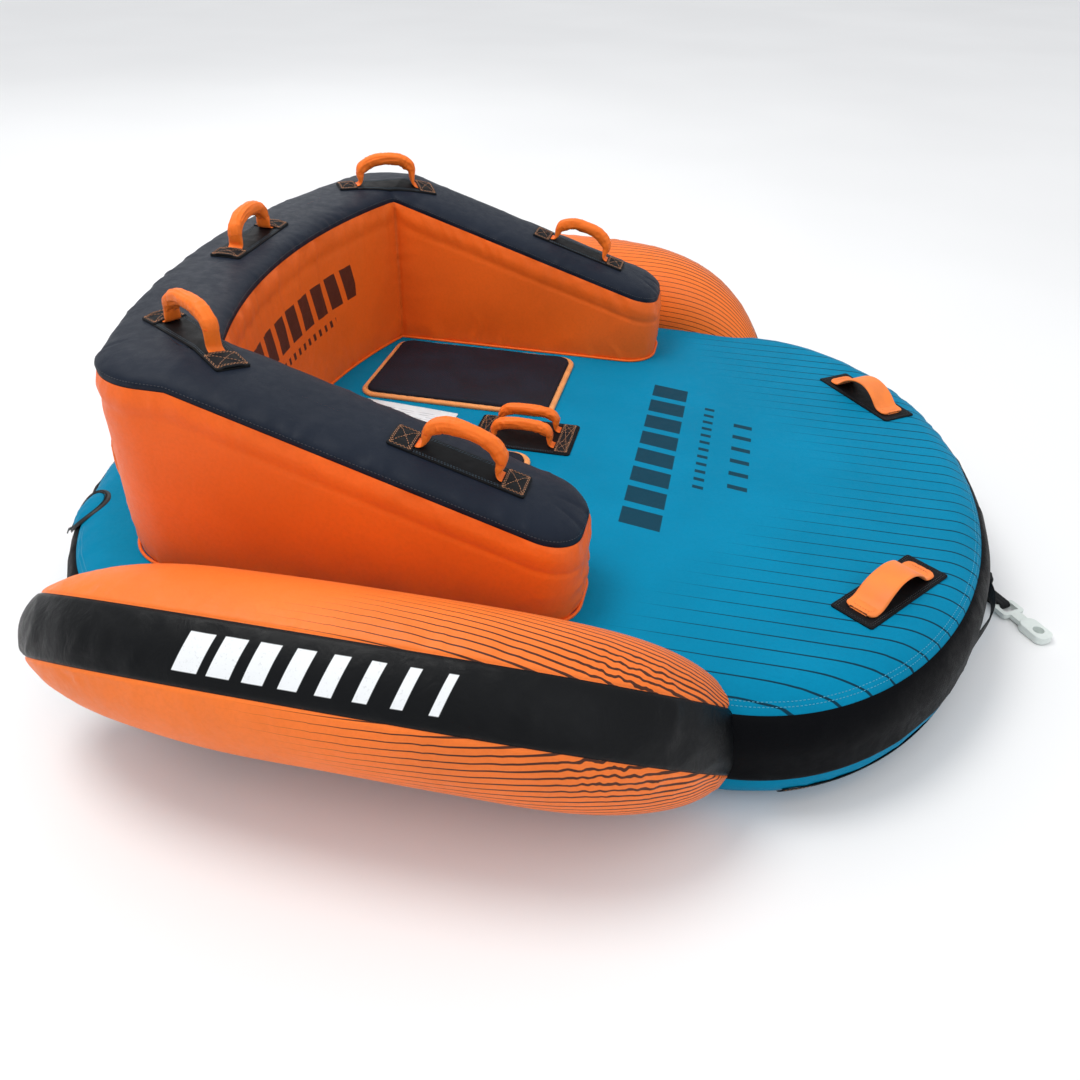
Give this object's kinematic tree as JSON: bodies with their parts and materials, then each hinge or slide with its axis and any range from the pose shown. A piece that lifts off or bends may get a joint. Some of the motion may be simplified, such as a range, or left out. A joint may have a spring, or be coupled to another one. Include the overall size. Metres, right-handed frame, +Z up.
{
  "type": "towable tube",
  "caption": "Inflatable towable tube: deck hull with a rounded nose, U-shaped bolster backrest with arm rests, bowed side wings, padded loop handles, nose straps and a tow bridle.",
  "frame": {"origin": "on the ground under the middle of the bounding box", "axes": "+X towards the nose, the direction of travel; +Y towards the riders' left; +Z up"},
  "size_m": [1.9676, 1.934, 0.674],
  "materials": {
    "deck_fabric": "satin coated woven nylon",
    "wing_fabric": "satin coated woven nylon",
    "bolster_fabric": "satin coated woven nylon",
    "dark_fabric": "satin coated woven nylon",
    "side_band": "satin coated woven nylon",
    "air_chamber": "welded PVC film",
    "seat_foam": "textured EVA foam",
    "piping": "woven binding",
    "patch": "woven webbing cloth with tan stitching",
    "handle_sleeve": "gathered nylon over foam",
    "handle_webbing": "woven polyester webbing",
    "nose_strap": "flat EVA strap",
    "valve": "moulded plastic",
    "zip": "coil zip",
    "bridle": "woven polyester webbing",
    "connector": "moulded nylon"
  },
  "bodies": {
    "tube": {"deck_top_panel": "deck_fabric", "deck_side_band": "side_band", "deck_bottom_panel": "deck_fabric", "deck_air_chamber": "air_chamber", "wing_top_panel_left": "wing_fabric", "wing_top_panel_right": "wing_fabric", "wing_outer_band_left": "side_band", "wing_outer_band_right": "side_band", "wing_bottom_panel_left": "wing_fabric", "wing_bottom_panel_right": "wing_fabric", "wing_air_chamber_left": "air_chamber", "wing_air_chamber_right": "air_chamber", "bolster_top_band": "dark_fabric", "bolster_outer_wall": "bolster_fabric", "bolster_inner_wall": "bolster_fabric", "bolster_air_chamber": "air_chamber", "seat_pad_left": "seat_foam", "seat_pad_right": "seat_foam", "seat_pad_borders": "piping", "centre_grip_patch": "patch", "arm_handle_left_patch": "patch", "corner_handle_left_patch": "patch", "rear_handle_left_patch": "patch", "arm_handle_right_patch": "patch", "corner_handle_right_patch": "patch", "rear_handle_right_patch": "patch", "back_handle_patch": "patch", "handle_cross_strips": "patch", "nose_strap_left": "nose_strap", "nose_strap_right": "nose_strap", "nose_strap_patches": "patch", "deck_valve": "valve", "valve_zip_ring": "zip", "chamber_valves": "valve", "tow_bridle_left": "bridle", "tow_bridle_right": "bridle", "tow_loop": "bridle"},
    "arm_handle_left": {"arm_handle_left_webbing": "handle_webbing", "arm_handle_left_sleeve": "handle_sleeve"},
    "corner_handle_left": {"corner_handle_left_webbing": "handle_webbing", "corner_handle_left_sleeve": "handle_sleeve"},
    "rear_handle_left": {"rear_handle_left_loop": "handle_sleeve"},
    "arm_handle_right": {"arm_handle_right_webbing": "handle_webbing", "arm_handle_right_sleeve": "handle_sleeve"},
    "corner_handle_right": {"corner_handle_right_webbing": "handle_webbing", "corner_handle_right_sleeve": "handle_sleeve"},
    "rear_handle_right": {"rear_handle_right_loop": "handle_sleeve"},
    "back_handle": {"back_handle_webbing": "handle_webbing", "back_handle_sleeve": "handle_sleeve"},
    "centre_grip_left": {"centre_grip_left_webbing": "handle_webbing", "centre_grip_left_sleeve": "handle_sleeve"},
    "centre_grip_right": {"centre_grip_right_webbing": "handle_webbing", "centre_grip_right_sleeve": "handle_sleeve"},
    "deck_valve_cap": {"deck_valve_cap": "valve"},
    "valve_flap": {"valve_flap": "deck_fabric"},
    "valve_zip_slider": {"valve_zip_slider": "zip"},
    "wing_valve_cap_left": {"wing_valve_cap_left": "valve"},
    "wing_valve_cap_right": {"wing_valve_cap_right": "valve"},
    "bolster_valve_cap": {"bolster_valve_cap": "valve"},
    "tow_connector": {"tow_connector": "connector"}
  },
  "joints": [
    {"name": "arm_handle_left_swing", "type": "hinge", "parent": "tube", "child": "arm_handle_left", "pos_m": [-0.10478, 0.527, 0.46735], "axis": [0.9551, 0, -0.2962], "range_deg": [-55, 55]},
    {"name": "corner_handle_left_swing", "type": "hinge", "parent": "tube", "child": "corner_handle_left", "pos_m": [-0.57, 0.465, 0.6035], "axis": [0.848, 0.5299, 0], "range_deg": [-55, 55]},
    {"name": "rear_handle_left_swing", "type": "hinge", "parent": "tube", "child": "rear_handle_left", "pos_m": [-0.74041, 0.45423, 0.337], "axis": [0, 0, 1], "range_deg": [-50, 50]},
    {"name": "arm_handle_right_swing", "type": "hinge", "parent": "tube", "child": "arm_handle_right", "pos_m": [-0.10478, -0.527, 0.46735], "axis": [0.9551, 0, -0.2962], "range_deg": [-55, 55]},
    {"name": "corner_handle_right_swing", "type": "hinge", "parent": "tube", "child": "corner_handle_right", "pos_m": [-0.57, -0.465, 0.6035], "axis": [0.848, -0.5299, 0], "range_deg": [-55, 55]},
    {"name": "rear_handle_right_swing", "type": "hinge", "parent": "tube", "child": "rear_handle_right", "pos_m": [-0.74041, -0.45423, 0.337], "axis": [0, 0, 1], "range_deg": [-50, 50]},
    {"name": "back_handle_swing", "type": "hinge", "parent": "tube", "child": "back_handle", "pos_m": [-0.694, 0, 0.6035], "axis": [0, 1, 0], "range_deg": [-55, 55]},
    {"name": "centre_grip_left_swing", "type": "hinge", "parent": "tube", "child": "centre_grip_left", "pos_m": [-0.118, 0.034, 0.2325], "axis": [1, 0, 0], "range_deg": [-60, 35]},
    {"name": "centre_grip_right_swing", "type": "hinge", "parent": "tube", "child": "centre_grip_right", "pos_m": [-0.118, -0.034, 0.2325], "axis": [1, 0, 0], "range_deg": [-35, 60]},
    {"name": "deck_valve_cap_screw", "type": "hinge", "parent": "tube", "child": "deck_valve_cap", "pos_m": [-0.87535, -0.45729, 0.20486], "axis": [-0.5774, -0.2136, 0.788], "range_deg": [0, 300]},
    {"name": "valve_flap_fold", "type": "hinge", "parent": "tube", "child": "valve_flap", "pos_m": [-0.90702, -0.469, 0.18229], "axis": [0.3469, -0.9379, 0], "range_deg": [0, 110]},
    {"name": "valve_zip_travel", "type": "hinge", "parent": "tube", "child": "valve_zip_slider", "pos_m": [-0.87535, -0.45729, 0.20486], "axis": [-0.5774, -0.2136, 0.788], "range_deg": [0, 276]},
    {"name": "wing_valve_cap_left_screw", "type": "hinge", "parent": "tube", "child": "wing_valve_cap_left", "pos_m": [-0.43995, 0.84611, 0.13264], "axis": [0, 0.1483, -0.9889], "range_deg": [0, 300]},
    {"name": "wing_valve_cap_right_screw", "type": "hinge", "parent": "tube", "child": "wing_valve_cap_right", "pos_m": [-0.43995, -0.84611, 0.13264], "axis": [0, -0.1483, -0.9889], "range_deg": [0, 300]},
    {"name": "bolster_valve_cap_screw", "type": "hinge", "parent": "tube", "child": "bolster_valve_cap", "pos_m": [-0.7978, 0, 0.32], "axis": [-1, 0, 0], "range_deg": [0, 300]},
    {"name": "tow_connector_lift", "type": "hinge", "parent": "tube", "child": "tow_connector", "pos_m": [0.9059, -0.072, 0.0087], "axis": [-0.829, -0.5592, 0], "range_deg": [0, 100]}
  ]
}
